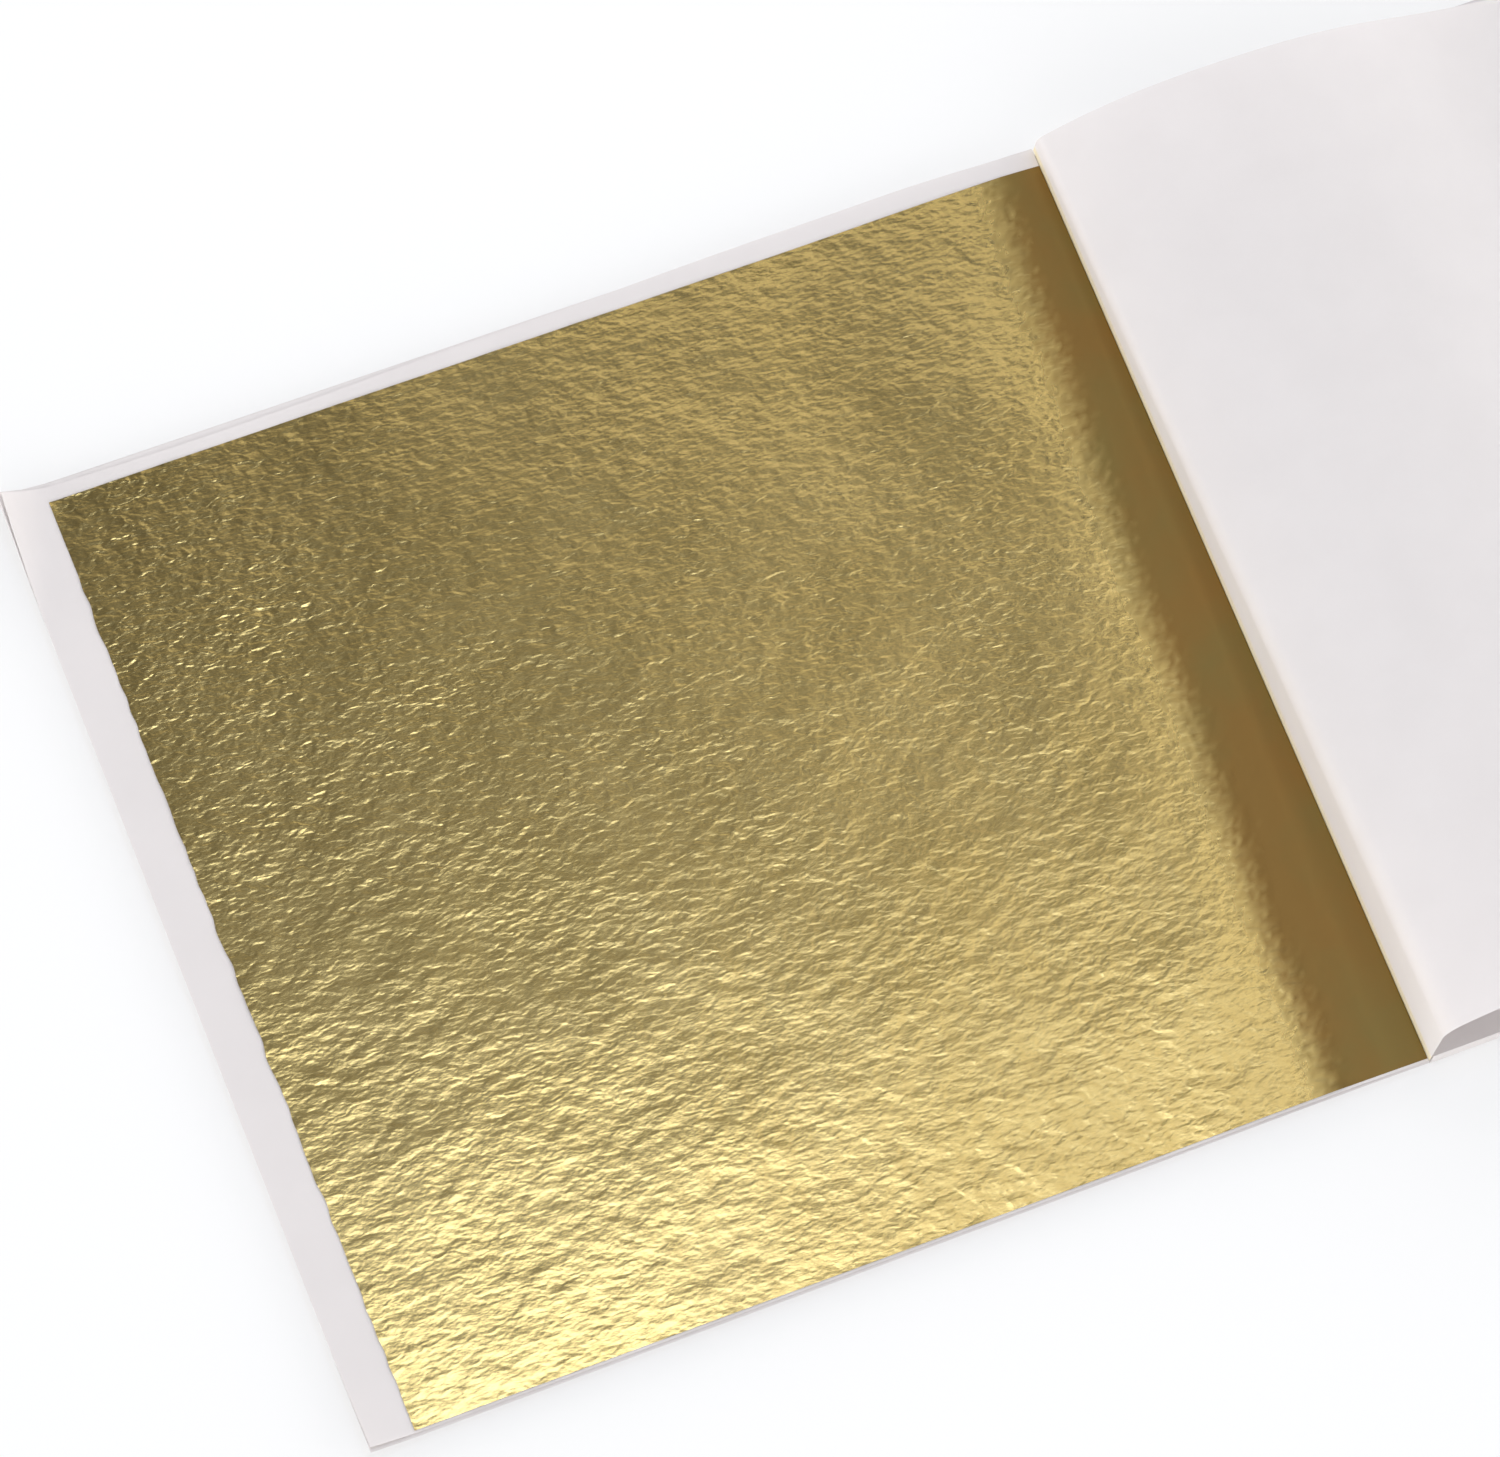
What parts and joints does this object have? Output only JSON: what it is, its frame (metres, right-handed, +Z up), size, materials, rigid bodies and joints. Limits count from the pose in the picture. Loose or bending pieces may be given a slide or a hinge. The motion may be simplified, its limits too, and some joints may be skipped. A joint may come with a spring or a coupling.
{
  "type": "gold leaf booklet",
  "caption": "Stapled booklet of thin gold leaves between tissue pages, open at the first leaf, with the front cover and the first tissue turned back over the binding margin.",
  "frame": {"origin": "On the underside of the back cover, in the plane the booklet lies on, under the middle of the crease.", "axes": "+X runs from the fore edge of the open leaf past the crease to the turned sheets, +Y along the crease from tail to head, +Z up from the table."},
  "size_m": [0.1779, 0.0816, 0.0097],
  "materials": {
    "tissue_paper": "thin, smooth, faintly mottled white tissue",
    "cover_card": "uncoated pale card",
    "gold_leaf": "crinkled metal foil with a satin mirror finish",
    "staple_wire": "plain drawn wire"
  },
  "bodies": {
    "base": {"back_cover": "cover_card", "bound_margin": "tissue_paper", "staple_head": "staple_wire", "staple_tail": "staple_wire"},
    "page_26": {"tissue_26": "tissue_paper", "leaf_25": "gold_leaf"},
    "page_25": {"tissue_25": "tissue_paper", "leaf_24": "gold_leaf"},
    "page_24": {"tissue_24": "tissue_paper", "leaf_23": "gold_leaf"},
    "page_23": {"tissue_23": "tissue_paper", "leaf_22": "gold_leaf"},
    "page_22": {"tissue_22": "tissue_paper", "leaf_21": "gold_leaf"},
    "page_21": {"tissue_21": "tissue_paper", "leaf_20": "gold_leaf"},
    "page_20": {"tissue_20": "tissue_paper", "leaf_19": "gold_leaf"},
    "page_19": {"tissue_19": "tissue_paper", "leaf_18": "gold_leaf"},
    "page_18": {"tissue_18": "tissue_paper", "leaf_17": "gold_leaf"},
    "page_17": {"tissue_17": "tissue_paper", "leaf_16": "gold_leaf"},
    "page_16": {"tissue_16": "tissue_paper", "leaf_15": "gold_leaf"},
    "page_15": {"tissue_15": "tissue_paper", "leaf_14": "gold_leaf"},
    "page_14": {"tissue_14": "tissue_paper", "leaf_13": "gold_leaf"},
    "page_13": {"tissue_13": "tissue_paper", "leaf_12": "gold_leaf"},
    "page_12": {"tissue_12": "tissue_paper", "leaf_11": "gold_leaf"},
    "page_11": {"tissue_11": "tissue_paper", "leaf_10": "gold_leaf"},
    "page_10": {"tissue_10": "tissue_paper", "leaf_09": "gold_leaf"},
    "page_09": {"tissue_09": "tissue_paper", "leaf_08": "gold_leaf"},
    "page_08": {"tissue_08": "tissue_paper", "leaf_07": "gold_leaf"},
    "page_07": {"tissue_07": "tissue_paper", "leaf_06": "gold_leaf"},
    "page_06": {"tissue_06": "tissue_paper", "leaf_05": "gold_leaf"},
    "page_05": {"tissue_05": "tissue_paper", "leaf_04": "gold_leaf"},
    "page_04": {"tissue_04": "tissue_paper", "leaf_03": "gold_leaf"},
    "page_03": {"tissue_03": "tissue_paper", "leaf_02": "gold_leaf"},
    "page_02": {"tissue_02": "tissue_paper"},
    "open_leaf": {"leaf_01": "gold_leaf"},
    "cover_flap": {"front_cover": "cover_card"},
    "turned_tissue": {"tissue_01": "tissue_paper"}
  },
  "joints": [
    {"name": "page_26_lift", "type": "hinge", "parent": "base", "child": "page_26", "pos_m": [0, 0, 0.00192], "axis": [0, 1, 0], "range_deg": [0, 1.1]},
    {"name": "page_25_lift", "type": "hinge", "parent": "page_26", "child": "page_25", "pos_m": [0, 0, 0.00192], "axis": [0, 1, 0], "range_deg": [0, 1.1]},
    {"name": "page_24_lift", "type": "hinge", "parent": "page_25", "child": "page_24", "pos_m": [0, 0, 0.00192], "axis": [0, 1, 0], "range_deg": [0, 1.1]},
    {"name": "page_23_lift", "type": "hinge", "parent": "page_24", "child": "page_23", "pos_m": [0, 0, 0.00192], "axis": [0, 1, 0], "range_deg": [0, 1.1]},
    {"name": "page_22_lift", "type": "hinge", "parent": "page_23", "child": "page_22", "pos_m": [0, 0, 0.00192], "axis": [0, 1, 0], "range_deg": [0, 1.1]},
    {"name": "page_21_lift", "type": "hinge", "parent": "page_22", "child": "page_21", "pos_m": [0, 0, 0.00192], "axis": [0, 1, 0], "range_deg": [0, 1.1]},
    {"name": "page_20_lift", "type": "hinge", "parent": "page_21", "child": "page_20", "pos_m": [0, 0, 0.00192], "axis": [0, 1, 0], "range_deg": [0, 1.1]},
    {"name": "page_19_lift", "type": "hinge", "parent": "page_20", "child": "page_19", "pos_m": [0, 0, 0.00192], "axis": [0, 1, 0], "range_deg": [0, 1.1]},
    {"name": "page_18_lift", "type": "hinge", "parent": "page_19", "child": "page_18", "pos_m": [0, 0, 0.00192], "axis": [0, 1, 0], "range_deg": [0, 1.1]},
    {"name": "page_17_lift", "type": "hinge", "parent": "page_18", "child": "page_17", "pos_m": [0, 0, 0.00192], "axis": [0, 1, 0], "range_deg": [0, 1.1]},
    {"name": "page_16_lift", "type": "hinge", "parent": "page_17", "child": "page_16", "pos_m": [0, 0, 0.00192], "axis": [0, 1, 0], "range_deg": [0, 1.1]},
    {"name": "page_15_lift", "type": "hinge", "parent": "page_16", "child": "page_15", "pos_m": [0, 0, 0.00192], "axis": [0, 1, 0], "range_deg": [0, 1.1]},
    {"name": "page_14_lift", "type": "hinge", "parent": "page_15", "child": "page_14", "pos_m": [0, 0, 0.00192], "axis": [0, 1, 0], "range_deg": [0, 1.1]},
    {"name": "page_13_lift", "type": "hinge", "parent": "page_14", "child": "page_13", "pos_m": [0, 0, 0.00192], "axis": [0, 1, 0], "range_deg": [0, 1.1]},
    {"name": "page_12_lift", "type": "hinge", "parent": "page_13", "child": "page_12", "pos_m": [0, 0, 0.00192], "axis": [0, 1, 0], "range_deg": [0, 1.1]},
    {"name": "page_11_lift", "type": "hinge", "parent": "page_12", "child": "page_11", "pos_m": [0, 0, 0.00192], "axis": [0, 1, 0], "range_deg": [0, 1.1]},
    {"name": "page_10_lift", "type": "hinge", "parent": "page_11", "child": "page_10", "pos_m": [0, 0, 0.00192], "axis": [0, 1, 0], "range_deg": [0, 1.1]},
    {"name": "page_09_lift", "type": "hinge", "parent": "page_10", "child": "page_09", "pos_m": [0, 0, 0.00192], "axis": [0, 1, 0], "range_deg": [0, 1.1]},
    {"name": "page_08_lift", "type": "hinge", "parent": "page_09", "child": "page_08", "pos_m": [0, 0, 0.00192], "axis": [0, 1, 0], "range_deg": [0, 1.1]},
    {"name": "page_07_lift", "type": "hinge", "parent": "page_08", "child": "page_07", "pos_m": [0, 0, 0.00192], "axis": [0, 1, 0], "range_deg": [0, 1.1]},
    {"name": "page_06_lift", "type": "hinge", "parent": "page_07", "child": "page_06", "pos_m": [0, 0, 0.00192], "axis": [0, 1, 0], "range_deg": [0, 1.1]},
    {"name": "page_05_lift", "type": "hinge", "parent": "page_06", "child": "page_05", "pos_m": [0, 0, 0.00192], "axis": [0, 1, 0], "range_deg": [0, 1.1]},
    {"name": "page_04_lift", "type": "hinge", "parent": "page_05", "child": "page_04", "pos_m": [0, 0, 0.00192], "axis": [0, 1, 0], "range_deg": [0, 1.1]},
    {"name": "page_03_lift", "type": "hinge", "parent": "page_04", "child": "page_03", "pos_m": [0, 0, 0.00192], "axis": [0, 1, 0], "range_deg": [0, 1.1]},
    {"name": "page_02_turn", "type": "hinge", "parent": "page_03", "child": "page_02", "pos_m": [0, 0, 0.00192], "axis": [0, 1, 0], "range_deg": [0, 150]},
    {"name": "open_leaf_slide", "type": "slide", "parent": "page_02", "child": "open_leaf", "axis": [0, 1, 0], "range_m": [-0.085, 0]},
    {"name": "cover_close", "type": "hinge", "parent": "base", "child": "cover_flap", "pos_m": [0, 0, 0.00192], "axis": [0, 1, 0], "range_deg": [-180, 0], "deforming": ["tissue_01"]},
    {"name": "tissue_close", "type": "hinge", "parent": "cover_flap", "child": "turned_tissue", "pos_m": [0, 0, 0.00192], "axis": [0, -1, 0], "range_deg": [0, 150]}
  ]
}
